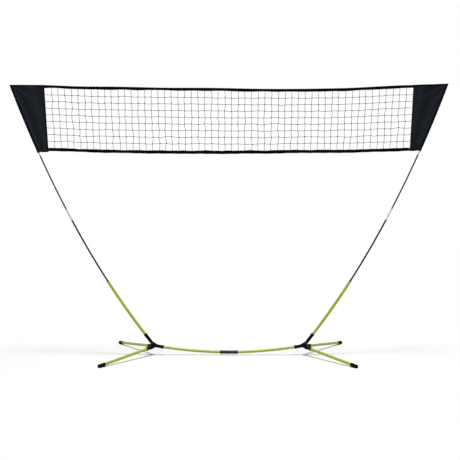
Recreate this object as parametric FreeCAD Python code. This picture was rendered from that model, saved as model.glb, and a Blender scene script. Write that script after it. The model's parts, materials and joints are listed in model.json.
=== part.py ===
import FreeCAD, Part
import math
import os

# A free-standing badminton net on two bowed poles.
# Millimetres. +X runs along the net, -Y is the front, +Z is up.
# The origin is on the floor, midway between the two hubs.

Vector = FreeCAD.Vector
os.makedirs("parts", exist_ok=True)

UP = Vector(0, 0, 1)
SIDEWAYS = Vector(0, 1, 0)
MIDDLE = Vector(0, 0, 0)
ALONG = Vector(1, 0, 0)

# Clearances
slip = 0.1               # radial, where a tube or rod plugs into something
running = 0.05           # radial, where a leg turns on its pin
face_gap = 0.3           # between flat faces that slide or butt
fold_clearance = 1.5     # beside a leg's neck when it is folded in
past = 1.0               # how far a cutting shape runs on past what it cuts

# Stance
hub_half_spacing = 429.0     # each hub from the middle
hub_height = 51.0            # where the lines of the pole and the legs cross in a hub
bar_end_height = 54.8        # axis of the bowed base bar at a hub's middle
bar_mid_height = 16.8        # and at its own middle
leg_splay = 55.0             # each leg, away from the line of the net
leg_reach = 454.0            # hub centre to the tip of the foot
fold_angle = 180.0 - leg_splay

# Tubes and rods
bar_tube_diameter = 15.0
bar_tube_wall = 1.3
leg_tube_diameter = 16.0
leg_tube_wall = 1.2
pole_tube_diameter = 16.0
pole_tube_wall = 1.2
lower_rod_diameter = 9.5
upper_rod_diameter = 8.0
rod_wall = 2.0
shock_cord_diameter = 3.0

# Pole, measured along its line from the hub centre
pole_lean = 38.63            # from upright, at the hub
tube_bend_radius = 4240.0
lower_rod_bend_radius = 5040.0
upper_rod_bend_radius = 6630.0
pole_tube_start = 38.0
pole_tube_length = 424.0
lower_rod_length = 488.0
upper_rod_length = 411.0
top_rod_length = 393.0
ferrule_length = 70.0
ferrule_wall = 0.8
bush_depth = 45.0
bush_flange = 3.0
bush_floor = 2.0

# Hub moulding
hub_core_radius = 14.0
crown_rise = 1.6             # the core's level top, above the top of the bar's socket
crown_reach = 8.0            # it is level out to here
arm_half_width = 8.5
arm_shoulder_reach = 24.0    # a leg arm's slopes end here
leg_pivot_reach = 34.0
ear_thickness = 3.2
bar_socket_wall = 1.9
bar_socket_reach = 52.0
bar_socket_floor = 15.0      # blind end of the bar's bore, from the hub centre
bar_web_reach = 21.0
bar_web_half_width = 6.5
bar_collar_rise = 1.8
collar_length = 8.0
edge_fillet = 2.5
core_fillet = 4.0

# Leg root and its pin
tongue_thickness = 10.4
tongue_radius = 8.0
neck_half_width = 5.5
neck_length = 15.5
root_cone_length = 4.5
root_socket_wall = 2.0
root_socket_length = 18.0
root_socket_floor = 2.0
root_collar_length = 5.0
root_collar_rise = 0.8
pin_radius = 3.0
pin_head_radius = 5.5
pin_head_height = 2.0

# Pole socket, its knuckle and cross bolt
pole_socket_wall = 1.7
pole_socket_reach = 91.0
pole_socket_floor = 5.0
pole_collar_rise = 0.8
knuckle_along = 22.0         # knuckle centre, along the pole's line
knuckle_radius = 9.0
knuckle_width = 13.0
cheek_thickness = 5.0
cheek_rim = 1.0
bolt_radius = 3.0
bolt_head_radius = 5.2
bolt_head_height = 2.6
bolt_end = 1.0               # past the nut
nut_sides = 6
nut_across_flats = 10.0
nut_height = 4.5
spanner_room = 1.2           # round the nut and the bolt's head, in their pockets

# Foot cap
cap_wall = 1.9
cap_sole = 0.8
cap_length = 46.0
cap_end = 8.0                # solid rubber beyond the end of the tube
cap_round = 4.0
sole_inset = 2.0
sole_half_width = 7.0

# Coupler at the middle of the bar
coupler_length = 102.0
coupler_wall = 1.9
coupler_collar_rise = 0.5
insert_length = 92.0
insert_wall = 1.4

# Net, its two tapes, end panels and sleeves
fabric_thickness = 1.2
tape_thickness = 2.6
net_drop = 13.7              # top edge of the net at its middle, below the tips of the rods
top_sag = 13.5               # how much higher that edge is at its ends
bottom_sag = 18.0            # and the bottom edge
top_tape_width = 17.0
mesh_height = 337.5
bottom_tape_width = 19.0
mesh_end_top = 1054.0        # end of the mesh from the middle, at the top edge
mesh_end_bottom = 1033.0     # and at the bottom edge
cord_width = 3.0
cord_thickness = 2.0
mesh_columns = 40
mesh_rows = 7
sleeve_bore_radius = 5.8
sleeve_wall = 0.8
sleeve_start = 1303.0        # along the pole's line
tip_cap_radius = 5.3
tip_cap_length = 18.0
tip_cap_end = 5.0


class BentLine:
    """A line in the XZ plane made of tangent arcs, measured by length along it.

    It turns upright as it goes. Lengths before its start or past its end go on
    along the first or last arc.
    """

    def __init__(self, x, z, lean, bends):
        self.arcs = []
        distance = 0.0
        for length, radius in bends:
            centre_x = x - radius * math.cos(lean)
            centre_z = z + radius * math.sin(lean)
            self.arcs.append((distance, radius, lean, centre_x, centre_z))
            lean -= length / radius
            x = centre_x + radius * math.cos(lean)
            z = centre_z - radius * math.sin(lean)
            distance += length

    def arc_at(self, distance):
        found = self.arcs[0]
        for arc in self.arcs:
            if distance >= arc[0]:
                found = arc
        return found

    def lean(self, distance):
        start, radius, lean, centre_x, centre_z = self.arc_at(distance)
        return lean - (distance - start) / radius

    def point(self, distance, inset=0.0):
        """A point at this distance, moved by inset to the hollow side of the bend."""
        start, radius, lean, centre_x, centre_z = self.arc_at(distance)
        lean_here = lean - (distance - start) / radius
        reach = radius - inset
        return Vector(centre_x + reach * math.cos(lean_here), 0, centre_z - reach * math.sin(lean_here))

    def direction(self, distance):
        lean_here = self.lean(distance)
        return Vector(math.sin(lean_here), 0, math.cos(lean_here))

    def rod(self, first, last, radius):
        """A round rod that follows the line."""
        cuts = [first]
        for arc in self.arcs[1:]:
            if first < arc[0] < last:
                cuts.append(arc[0])
        cuts.append(last)
        pieces = []
        for near, far in zip(cuts, cuts[1:]):
            start, bend_radius, lean, centre_x, centre_z = self.arc_at((near + far) / 2)
            circle = Part.Circle(self.point((near + far) / 2), self.direction((near + far) / 2), radius)
            face = Part.Face(Part.Wire(circle.toShape()))
            centre = Vector(centre_x, 0, centre_z)
            turn = math.degrees((far - near) / bend_radius)
            face.rotate(centre, SIDEWAYS, turn / 2)
            pieces.append(face.revolve(centre, -SIDEWAYS, turn))
        solid = pieces[0]
        for piece in pieces[1:]:
            solid = solid.fuse(piece)
        return solid

    def tube(self, first, last, outer_radius, inner_radius):
        """A round tube that follows the line, open at both ends."""
        return self.rod(first, last, outer_radius).cut(self.rod(first - past, last + past, inner_radius))


def arc_edge(first, middle, last):
    return Part.Arc(first, middle, last).toShape()


def line_edge(first, last):
    return Part.LineSegment(first, last).toShape()


def prism(points, low_y, high_y):
    """A flat outline in the XZ plane, given as (x, z), extruded along Y."""
    corners = [Vector(x, low_y, z) for x, z in points]
    face = Part.Face(Part.makePolygon(corners + corners[:1]))
    return face.extrude(Vector(0, high_y - low_y, 0))


def upright(edge):
    direction = edge.tangentAt(edge.FirstParameter)
    return abs(direction.z) > abs(direction.x) + abs(direction.y)


def fused(solids):
    result = solids[0]
    for solid in solids[1:]:
        result = result.fuse(solid)
    return result.removeSplitter()


def save(shape, name):
    if shape.ShapeType == "Compound" and len(shape.Solids) == 1:
        shape = shape.Solids[0]
    shape.exportStep("parts/" + name + ".step")


# The lines that the poles, the base bar and the legs follow

bar_rise = bar_end_height - bar_mid_height
bar_bend_radius = (hub_half_spacing ** 2 + bar_rise ** 2) / (2 * bar_rise)
bar_half_length = bar_bend_radius * math.asin(hub_half_spacing / bar_bend_radius)
bar = BentLine(0, bar_mid_height, math.radians(90), [(bar_half_length, bar_bend_radius)])

tube_end = pole_tube_start + pole_tube_length
lower_rod_start = tube_end - bush_depth
lower_ferrule_middle = lower_rod_start + lower_rod_length
upper_ferrule_middle = lower_ferrule_middle + upper_rod_length
rod_tip = upper_ferrule_middle + top_rod_length
pole = BentLine(hub_half_spacing, hub_height, math.radians(pole_lean), [
    (tube_end, tube_bend_radius),
    (lower_ferrule_middle - tube_end, lower_rod_bend_radius),
    (rod_tip - lower_ferrule_middle, upper_rod_bend_radius)])

# A leg is made along +X with the hub centre above the origin, then put in place.
foot_axis_height = leg_tube_diameter / 2 + cap_wall + cap_sole
leg_fall = (hub_height - foot_axis_height) / (leg_reach - cap_length / 2)
leg_direction = Vector(1, 0, -leg_fall)
leg_direction.normalize()


def leg_axis_height(reach):
    return hub_height - leg_fall * reach


def leg_point(reach):
    return Vector(reach, 0, leg_axis_height(reach))


def leg_rod(first, last, radius):
    span = leg_point(last) - leg_point(first)
    return Part.makeCylinder(radius, span.Length, leg_point(first), leg_direction)


pivot_height = leg_axis_height(leg_pivot_reach)
ear_gap = tongue_thickness + 2 * face_gap
ear_low = pivot_height - ear_gap / 2 - ear_thickness
ear_high = pivot_height + ear_gap / 2 + ear_thickness


# Hub

bar_bore_radius = bar_tube_diameter / 2 + slip
bar_socket_radius = bar_bore_radius + bar_socket_wall
core_low = bar_end_height - bar_socket_radius
core_high = bar_end_height + bar_socket_radius + crown_rise


def leg_arm(fold_side):
    """One arm of a hub, with the forked end that holds a leg. It folds to fold_side."""
    outline = [(0, core_low), (crown_reach, core_low), (arm_shoulder_reach, ear_low), (leg_pivot_reach, ear_low),
               (leg_pivot_reach, ear_high), (arm_shoulder_reach, ear_high), (crown_reach, core_high), (0, core_high)]
    arm = prism(outline, -arm_half_width, arm_half_width)
    end = Part.makeCylinder(arm_half_width, ear_high - ear_low, Vector(leg_pivot_reach, 0, ear_low))
    arm = fused([arm, end])
    beside = arm_half_width / 2
    rims = [edge for edge in arm.Edges if abs(edge.CenterOfMass.y) > beside or edge.CenterOfMass.x > leg_pivot_reach]
    arm = arm.makeFillet(edge_fillet, [edge for edge in rims if not upright(edge)])
    slot_low = Vector(leg_pivot_reach, 0, pivot_height - ear_gap / 2)
    slot = Part.makeCylinder(tongue_radius + face_gap, ear_gap, slot_low)
    mouth_half_width = arm_half_width + fold_clearance
    mouth = Part.makeBox(leg_pivot_reach, 2 * mouth_half_width, ear_gap, slot_low - Vector(0, mouth_half_width, 0))
    swing_half_width = neck_half_width + fold_clearance
    swing = Part.makeBox(leg_pivot_reach, 2 * swing_half_width, ear_gap, slot_low - Vector(0, swing_half_width, 0))
    swing.rotate(slot_low, UP, fold_side * fold_angle)
    pin_hole_radius = pin_radius + slip
    hole = Part.makeCylinder(pin_hole_radius, ear_high - ear_low, Vector(leg_pivot_reach, 0, ear_low))
    return arm, fused([slot, mouth, swing, hole])


nut_corner_radius = nut_across_flats / 2 / math.cos(math.pi / nut_sides)
knuckle = pole.point(knuckle_along)
cheek_inner = knuckle_width / 2 + face_gap
cheek_outer = cheek_inner + cheek_thickness


def across(x, z, low_y, high_y, radius):
    """A cylinder along Y."""
    return Part.makeCylinder(radius, high_y - low_y, Vector(x, low_y, z), SIDEWAYS)


pole_socket_radius = pole_tube_diameter / 2 + slip + pole_socket_wall


def within(radius, half_width):
    """How far from a round bar's axis a flat piece of this half width stays inside it."""
    return math.sqrt(radius ** 2 - half_width ** 2)


def knuckle_neck(width, margin):
    """What joins the knuckle to the pole socket's barrel. With a margin, the room for it."""
    half = knuckle_radius + margin
    barrel_half = within(pole_socket_radius, knuckle_width / 2) + margin
    corners = [pole.point(knuckle_along, half), pole.point(pole_tube_start, barrel_half),
               pole.point(pole_tube_start, -barrel_half), pole.point(knuckle_along, -half)]
    return prism([(corner.x, corner.z) for corner in corners], -width / 2, width / 2)


def tangent_point(start, centre, radius):
    """Where a line from start, in the XZ plane, touches the upper side of a circle."""
    to_centre = centre - start
    length = math.sqrt(to_centre.Length ** 2 - radius ** 2)
    rise = math.atan2(to_centre.z, to_centre.x) + math.asin(radius / to_centre.Length)
    return start + Vector(length * math.cos(rise), 0, length * math.sin(rise))


def hub():
    centre = Vector(hub_half_spacing, 0, 0)
    core = Part.makeCylinder(hub_core_radius, core_high - core_low, centre + UP * core_low)
    rims = [edge for edge in core.Edges if isinstance(edge.Curve, Part.Circle)]
    solids = [core.makeFillet(core_fillet, rims)]
    cuts = []
    for fold_side in (-1, 1):
        arm, cut = leg_arm(fold_side)
        for shape in (arm, cut):
            shape.rotate(MIDDLE, UP, fold_side * leg_splay)
            shape.translate(centre)
        solids.append(arm)
        cuts.append(cut)
    socket_end = bar_half_length - bar_socket_reach
    solids.append(bar.rod(socket_end, bar_half_length, bar_socket_radius))
    solids.append(bar.rod(socket_end, socket_end + collar_length, bar_socket_radius + bar_collar_rise))
    cuts.append(bar.rod(socket_end - past, bar_half_length - bar_socket_floor, bar_bore_radius))
    cheek_radius = knuckle_radius + cheek_rim
    cheek = across(knuckle.x, knuckle.z, -cheek_outer, cheek_outer, cheek_radius)
    foot = [(knuckle.x - cheek_radius, knuckle.z), (hub_half_spacing, core_low),
            (hub_half_spacing + hub_core_radius, core_low), (knuckle.x + cheek_radius, knuckle.z)]
    solids.append(cheek)
    solids.append(prism(foot, -cheek_outer, cheek_outer))
    web_foot = bar.point(bar_half_length - bar_web_reach, within(bar_socket_radius, bar_web_half_width))
    web = [centre + UP * bar_end_height, web_foot, tangent_point(web_foot, knuckle, cheek_radius), knuckle]
    solids.append(prism([(corner.x, corner.z) for corner in web], -bar_web_half_width, bar_web_half_width))
    room = across(knuckle.x, knuckle.z, -cheek_inner, cheek_inner, knuckle_radius + face_gap)
    cuts.append(room)
    cuts.append(knuckle_neck(2 * cheek_inner, face_gap))
    cuts.append(across(knuckle.x, knuckle.z, -cheek_outer, cheek_outer, bolt_radius + slip))
    pocket_radius = max(bolt_head_radius, nut_corner_radius) + spanner_room
    for low_y, high_y in ((-2 * hub_core_radius, -cheek_outer), (cheek_outer, 2 * hub_core_radius)):
        cuts.append(across(knuckle.x, knuckle.z, low_y, high_y, pocket_radius))
    return fused(solids).cut(cuts)


def pole_socket():
    barrel_start = pole_tube_start - pole_socket_floor
    barrel = pole.rod(barrel_start, pole_socket_reach, pole_socket_radius)
    foot = min(barrel.Faces, key=lambda face: face.CenterOfMass.z)
    barrel = barrel.makeFillet(pole_socket_floor / 2, foot.Edges)
    collar = pole.rod(pole_socket_reach - collar_length, pole_socket_reach, pole_socket_radius + pole_collar_rise)
    boss = across(knuckle.x, knuckle.z, -knuckle_width / 2, knuckle_width / 2, knuckle_radius)
    neck = knuckle_neck(knuckle_width, 0)
    bore = pole.rod(pole_tube_start, pole_socket_reach + past, pole_tube_diameter / 2 + slip)
    hole = across(knuckle.x, knuckle.z, -knuckle_width, knuckle_width, bolt_radius + slip)
    return fused([barrel, collar, boss, neck]).cut([bore, hole])


def socket_bolt():
    head = across(knuckle.x, knuckle.z, -cheek_outer - bolt_head_height, -cheek_outer, bolt_head_radius)
    outside = min(head.Faces, key=lambda face: face.CenterOfMass.y)
    head = head.makeFillet(bolt_head_height / 2, outside.Edges)
    shank = across(knuckle.x, knuckle.z, -cheek_outer, cheek_outer + nut_height + bolt_end, bolt_radius)
    return head.fuse(shank)


def socket_nut():
    corners = []
    for step in range(nut_sides + 1):
        turn = 2 * math.pi * step / nut_sides
        corners.append(Vector(knuckle.x + nut_corner_radius * math.cos(turn), cheek_outer,
                              knuckle.z + nut_corner_radius * math.sin(turn)))
    nut = Part.Face(Part.makePolygon(corners)).extrude(SIDEWAYS * nut_height)
    return nut.cut(across(knuckle.x, knuckle.z, cheek_outer, cheek_outer + nut_height, bolt_radius + slip))


# Leg

socket_start = leg_pivot_reach + neck_length + root_cone_length
root_end = socket_start + root_socket_length
leg_tube_start = socket_start + root_socket_floor


def leg_root():
    low = Vector(leg_pivot_reach, 0, pivot_height - tongue_thickness / 2)
    tongue = Part.makeCylinder(tongue_radius, tongue_thickness, low)
    neck = Part.makeBox(neck_length + root_cone_length / 2, 2 * neck_half_width, tongue_thickness,
                        low - Vector(0, neck_half_width, 0))
    outer_radius = leg_tube_diameter / 2 + slip + root_socket_wall
    cone_start = leg_pivot_reach + neck_length
    cone_span = leg_point(socket_start) - leg_point(cone_start)
    cone = Part.makeCone(neck_half_width, outer_radius, cone_span.Length, leg_point(cone_start), leg_direction)
    socket = leg_rod(socket_start, root_end, outer_radius)
    collar = leg_rod(root_end - root_collar_length, root_end, outer_radius + root_collar_rise)
    bore = leg_rod(leg_tube_start, root_end + past, leg_tube_diameter / 2 + slip)
    hole = Part.makeCylinder(pin_radius + running, tongue_thickness, low)
    return fused([tongue, neck, cone, socket, collar]).cut([bore, hole])


def leg_tube():
    last = leg_reach - cap_end
    outer = leg_rod(leg_tube_start, last, leg_tube_diameter / 2)
    return outer.cut(leg_rod(leg_tube_start - past, last + past, leg_tube_diameter / 2 - leg_tube_wall))


def foot_cap():
    radius = leg_tube_diameter / 2 + cap_wall
    cap_start = leg_reach - cap_length
    barrel = leg_rod(cap_start, leg_reach, radius)
    tip = max(barrel.Faces, key=lambda face: face.CenterOfMass.x)
    barrel = barrel.makeFillet(cap_round, tip.Edges)
    sole_start = cap_start + sole_inset
    sole_length = leg_reach - sole_inset - sole_start
    sole = Part.makeBox(sole_length, 2 * sole_half_width, foot_axis_height, Vector(sole_start, -sole_half_width, 0))
    sole = sole.makeFillet(cap_round, [edge for edge in sole.Edges if upright(edge)])
    below = Part.makeBox(2 * cap_length, 4 * radius, 2 * radius, Vector(cap_start - radius, -2 * radius, -2 * radius))
    bore = leg_rod(cap_start - past, leg_reach - cap_end, leg_tube_diameter / 2 + slip)
    return fused([barrel, sole]).cut([below, bore])


def pivot_pin():
    shank = Part.makeCylinder(pin_radius, ear_high - ear_low, Vector(leg_pivot_reach, 0, ear_low))
    solids = [shank]
    for height in (ear_low - pin_head_height, ear_high):
        head = Part.makeCylinder(pin_head_radius, pin_head_height, Vector(leg_pivot_reach, 0, height))
        outside = min if height < ear_low else max
        rim = outside(head.Faces, key=lambda face: face.CenterOfMass.z)
        solids.append(head.makeFillet(pin_head_height / 2, rim.Edges))
    return fused(solids)


# Base bar

def base_tube():
    radius = bar_tube_diameter / 2
    return bar.tube(face_gap / 2, bar_half_length - bar_socket_floor - face_gap, radius, radius - bar_tube_wall)


def coupler():
    radius = bar_tube_diameter / 2 + slip
    half = coupler_length / 2
    outer = [bar.rod(-half, half, radius + coupler_wall)]
    for first in (-half, half - collar_length):
        outer.append(bar.rod(first, first + collar_length, radius + coupler_wall + coupler_collar_rise))
    return fused(outer).cut(bar.rod(-half - past, half + past, radius))


def coupler_insert():
    radius = bar_tube_diameter / 2 - bar_tube_wall - slip
    return bar.tube(-insert_length / 2, insert_length / 2, radius, radius - insert_wall)


def base_shock_cord():
    reach = bar_half_length - bar_socket_floor
    return bar.rod(-reach, reach, shock_cord_diameter / 2)


# Pole

def pole_tube():
    radius = pole_tube_diameter / 2
    return pole.tube(pole_tube_start + face_gap, tube_end, radius, radius - pole_tube_wall)


def reducer_bush():
    plug = pole.rod(tube_end - bush_depth - bush_floor, tube_end, pole_tube_diameter / 2 - pole_tube_wall - slip)
    flange = pole.rod(tube_end, tube_end + bush_flange, pole_tube_diameter / 2)
    bore = pole.rod(lower_rod_start - face_gap, tube_end + bush_flange + past, lower_rod_diameter / 2 + slip)
    cord_hole = pole.rod(tube_end - bush_depth - bush_floor - past, tube_end, shock_cord_diameter / 2 + face_gap)
    return fused([plug, flange]).cut([bore, cord_hole])


spigot_length = ferrule_length / 2


def lower_rod():
    shoulder = lower_ferrule_middle - spigot_length
    body = pole.rod(lower_rod_start, shoulder, lower_rod_diameter / 2)
    spigot = pole.rod(shoulder, lower_ferrule_middle - face_gap / 2, upper_rod_diameter / 2)
    bore = pole.rod(lower_rod_start - past, lower_ferrule_middle + past, upper_rod_diameter / 2 - rod_wall)
    return body.fuse(spigot).cut(bore)


def thin_rod(first, last):
    radius = upper_rod_diameter / 2
    return pole.tube(first + face_gap / 2, last - face_gap / 2, radius, radius - rod_wall)


def ferrule(middle):
    radius = upper_rod_diameter / 2 + slip
    half = ferrule_length / 2 - face_gap
    return pole.tube(middle - half, middle + half, radius + ferrule_wall, radius)


tip_cap_start = rod_tip + tip_cap_end - tip_cap_length


def tip_cap():
    cap = pole.rod(tip_cap_start, rod_tip + tip_cap_end, tip_cap_radius)
    rim = max(cap.Faces, key=lambda face: face.CenterOfMass.z)
    cap = cap.makeFillet(tip_cap_end / 2, rim.Edges)
    return cap.cut(pole.rod(tip_cap_start - past, rod_tip, upper_rod_diameter / 2 + slip))


def pole_shock_cord():
    return pole.rod(pole_tube_start, rod_tip, shock_cord_diameter / 2)


# Net

sleeve_bore_end = rod_tip + tip_cap_end + face_gap
sleeve_radius = sleeve_bore_radius + sleeve_wall
seam_heights = [pole.point(rod_tip).z - net_drop]
for step_down in (top_tape_width, mesh_height, bottom_tape_width):
    seam_heights.append(seam_heights[-1] - step_down)
tape_top, mesh_top, mesh_bottom, tape_bottom = seam_heights


def net_point(across_share, mid_height):
    """A point in the plane of the net, on a seam that is this high at the middle.

    across_share runs from -1 to 1.
    """
    down = (tape_top - mid_height) / (tape_top - tape_bottom)
    half_length = mesh_end_top + down * (mesh_end_bottom - mesh_end_top)
    sag = top_sag + down * (bottom_sag - top_sag)
    return Vector(across_share * half_length, 0, mid_height + sag * across_share ** 2)


def seam(mid_height):
    return arc_edge(net_point(-1, mid_height), net_point(0, mid_height), net_point(1, mid_height))


def net_band(high, low):
    """The outline between two seams."""
    return Part.Wire([seam(high), line_edge(net_point(1, high), net_point(1, low)),
                      seam(low), line_edge(net_point(-1, low), net_point(-1, high))])


def thickened(face, thickness):
    face.translate(Vector(0, -thickness / 2, 0))
    return face.extrude(SIDEWAYS * thickness)


def net_mesh():
    wires = [net_band(mesh_top, mesh_bottom)]
    half_cord_share = cord_width / 2 / mesh_end_top
    for column in range(mesh_columns):
        left = -1 + 2 * column / mesh_columns + half_cord_share
        right = -1 + 2 * (column + 1) / mesh_columns - half_cord_share
        for row in range(mesh_rows):
            high = mesh_top - mesh_height * row / mesh_rows - cord_width / 2
            low = mesh_top - mesh_height * (row + 1) / mesh_rows + cord_width / 2
            corners = [net_point(left, high), net_point(right, high), net_point(right, low), net_point(left, low)]
            wires.append(Part.makePolygon(corners + corners[:1]))
    return thickened(Part.makeFace(wires, "Part::FaceMakerCheese"), cord_thickness)


def tape(high, low):
    return thickened(Part.Face(net_band(high, low)), tape_thickness)


# The panel's top edge ends on the sleeve, and the line it is in cuts off the sleeve's closed end.
panel_corner = pole.point(sleeve_bore_end + sleeve_wall, sleeve_radius)
top_edge = (panel_corner - net_point(1, tape_top)).normalize()


def end_panel():
    upper = panel_corner
    middle = pole.point((sleeve_start + sleeve_bore_end) / 2, sleeve_radius)
    lower = pole.point(sleeve_start, sleeve_radius)
    inner_top = net_point(1, tape_top)
    inner_bottom = net_point(1, tape_bottom)
    outline = Part.Wire([arc_edge(upper, middle, lower), line_edge(lower, inner_bottom),
                         line_edge(inner_bottom, inner_top), line_edge(inner_top, upper)])
    return thickened(Part.Face(outline), fabric_thickness)


def pole_sleeve():
    reach = 4 * sleeve_radius
    low = panel_corner - top_edge * reach
    high = panel_corner + top_edge * reach
    above = [(low.x, low.z), (high.x, high.z), (high.x, high.z + reach), (low.x, low.z + reach)]
    end = pole.rod(tip_cap_start, sleeve_bore_end + reach, sleeve_radius).cut(prism(above, -reach, reach))
    outer = pole.rod(sleeve_start, tip_cap_start, sleeve_radius).fuse(end)
    return outer.cut(pole.rod(sleeve_start - past, sleeve_bore_end, sleeve_bore_radius))


# Writing the files

def save_pair(shape, name):
    """Saves a piece of the right side and its mirror image."""
    save(shape, "right_" + name)
    save(shape.mirror(MIDDLE, ALONG), "left_" + name)


def save_leg_piece(shape, name):
    for end_name, end_sign in (("front", -1), ("back", 1)):
        placed = shape.copy()
        placed.rotate(MIDDLE, UP, end_sign * leg_splay)
        placed.translate(Vector(hub_half_spacing, 0, 0))
        save_pair(placed, end_name + "_" + name)


save_pair(hub(), "hub")
save_pair(pole_socket(), "pole_socket")
save_pair(socket_bolt(), "socket_bolt")
save_pair(socket_nut(), "socket_nut")

save_leg_piece(leg_root(), "leg_root")
save_leg_piece(leg_tube(), "leg_tube")
save_leg_piece(foot_cap(), "foot_cap")
save_leg_piece(pivot_pin(), "pivot_pin")

save_pair(base_tube(), "base_tube")
save(coupler(), "bar_coupler")
save(coupler_insert(), "coupler_insert")
save(base_shock_cord(), "base_shock_cord")

save_pair(pole_tube(), "pole_tube")
save_pair(reducer_bush(), "reducer_bush")
save_pair(lower_rod(), "lower_rod")
save_pair(ferrule(lower_ferrule_middle), "lower_ferrule")
save_pair(thin_rod(lower_ferrule_middle, upper_ferrule_middle), "upper_rod")
save_pair(ferrule(upper_ferrule_middle), "upper_ferrule")
save_pair(thin_rod(upper_ferrule_middle, rod_tip), "top_rod")
save_pair(tip_cap(), "tip_cap")
save_pair(pole_shock_cord(), "pole_shock_cord")

save(net_mesh(), "net_mesh")
save(tape(tape_top, mesh_top), "top_tape")
save(tape(mesh_bottom, tape_bottom), "bottom_tape")
save_pair(end_panel(), "end_panel")
save_pair(pole_sleeve(), "pole_sleeve")

print("Pole tip", pole.point(rod_tip))
print("Net's top edge at its middle", round(tape_top, 1), "mesh from", round(mesh_top, 1), "to", round(mesh_bottom, 1))
print("Leg fall per mm", round(leg_fall, 4), "pivot height", round(pivot_height, 2))
print("Mesh gap about", round(2 * mesh_end_top / mesh_columns - cord_width, 1), "by",
      round(mesh_height / mesh_rows - cord_width, 1))
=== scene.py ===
import json
import math
import random

import bmesh
import bpy
import numpy as np
from mathutils import Matrix, Vector


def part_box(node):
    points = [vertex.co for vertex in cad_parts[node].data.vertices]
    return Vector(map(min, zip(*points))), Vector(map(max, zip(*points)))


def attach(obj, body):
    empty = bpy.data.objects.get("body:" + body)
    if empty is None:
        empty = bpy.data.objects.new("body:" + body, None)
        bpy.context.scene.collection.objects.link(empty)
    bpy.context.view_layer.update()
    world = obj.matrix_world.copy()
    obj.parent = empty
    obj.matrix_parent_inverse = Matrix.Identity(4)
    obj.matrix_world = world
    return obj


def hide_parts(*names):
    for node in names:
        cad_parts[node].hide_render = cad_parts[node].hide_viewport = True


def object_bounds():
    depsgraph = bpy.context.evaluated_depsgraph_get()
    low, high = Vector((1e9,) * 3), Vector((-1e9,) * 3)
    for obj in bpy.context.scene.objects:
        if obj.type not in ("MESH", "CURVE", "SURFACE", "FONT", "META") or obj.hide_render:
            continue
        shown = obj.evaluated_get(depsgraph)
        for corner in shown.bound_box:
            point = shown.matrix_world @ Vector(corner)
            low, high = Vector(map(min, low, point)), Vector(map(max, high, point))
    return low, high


# A free-standing badminton net on two bowed poles.
# Metres. +X runs along the net, -Y is the front, +Z is up.

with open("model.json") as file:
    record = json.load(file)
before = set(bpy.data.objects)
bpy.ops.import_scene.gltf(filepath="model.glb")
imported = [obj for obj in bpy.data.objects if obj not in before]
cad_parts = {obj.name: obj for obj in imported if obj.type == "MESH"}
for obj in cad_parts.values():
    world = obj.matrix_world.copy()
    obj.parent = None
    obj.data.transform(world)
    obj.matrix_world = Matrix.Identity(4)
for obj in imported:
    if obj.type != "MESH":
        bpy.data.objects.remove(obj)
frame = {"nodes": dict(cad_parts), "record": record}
cad_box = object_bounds()

UP = Vector((0, 0, 1))
BACK = Vector((0, 1, 0))
WHITE = (1, 1, 1, 1)

# Camera, at the photograph's viewing angle
camera_place = Vector((0.1048, -4.7457, 0.9061))
camera_lens = 64.74          # mm
camera_sensor = 36           # mm, its width
camera_turn = math.radians(1.163)
camera_tilt = math.radians(-2.216)
camera_roll = math.radians(0.178)

# Light and floor
world_light = 0.42
floor_size = 60.0
floor_front = 0.87           # the floor's grey in front of the net
floor_back_painted_light = 0.94            # and behind it, paler: painted light that hides the net's soft shadow and the lamp's falloff there
floor_change = 0.40          # over which it turns from one to the other, behind the net's plane
floor_bounce = 0.65          # its grey for the light that it throws back
fade_start = 0.95            # from the middle to where the floor starts to fade to white
fade_end = 1.7

# The net's curves
top_sag = 0.0135             # how much higher the ends of the top edge are than its middle
bottom_sag = 0.018
left_top_pull = 0.0065       # how far the left half of the top edge is pulled up
right_top_drop = 0.0085      # and how far its right half hangs down
top_pull_reach = 0.6         # from the middle to where that is full
left_end_lift = 0.0048       # how far the panels lift the last stretch of the top edge
right_end_lift = 0.0078
left_lift_run = (0.80, 0.24)     # where the lift starts, from the middle, and the length over which it grows
right_lift_run = (0.64, 0.36)
bottom_rise = 0.0023         # how far the bottom edge's left end is pulled up
bottom_drop = 0.0055         # and its right end down
bottom_rise_run = (0.70, 0.25)
bottom_drop_run = (0.35, 0.40)
billow_height = 0.0028       # how far the net waves to the front and back
billow_start = 0.05          # share of the half width from which the waves die away

# The net's cords
mesh_columns = 55
mesh_rows = 9
cord_radius = 0.0012
cord_sides = 6
cord_tuck = 0.005            # how far a cord's end reaches under a tape or panel
cord_bow_x = 0.0011          # usual bow of a cord between two knots
cord_bow_y = 0.001
cord_hang = 0.0009           # usual hang of a level one there
stray_x = 0.0017             # usual distance of a knot from its place
stray_y = 0.0012
stray_z = 0.0013
slack_top = 0.7              # share of stray_x and stray_z in the top row
slack_growth = 0.6           # and how much more at the bottom
knot_radius = 0.0018
knot_length = 0.0066
knot_leans = (0.7, -0.9)     # radians, of the two turns of cord in a knot
knot_lean_stray = 0.25
knot_depth_stray = 0.2       # how far back or front a turn usually leans, as a share of its length
knot_steps = (-1, -0.6, 0, 0.6, 1)
knot_swell = (0.45, 0.9, 1.0, 0.9, 0.45)

# Cloth, and strips that are folded over an edge
tape_cloth = 0.0009          # thickness of the tapes' cloth
panel_cloth = 0.0006
binding_cloth = 0.00072      # of the black bindings round the end panels
tape_slit = 0.0008           # between the two sides of a folded tape
binding_slit = panel_cloth + 0.0002
tape_wobble = 0.0009         # how far a tape's fold wanders from its line
binding_wobble = 0.0005
edge_wobble = 1.2            # how far a strip's edge wanders, as a share of that
flare = 0.2                  # share by which its two sides are further apart at the edge
flare_wander = 0.18
flare_shift = 40             # keeps the two sides' waves apart: this times their distance
tape_spacing = 0.012         # between the rings of a strip's mesh
binding_spacing = 0.006

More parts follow.
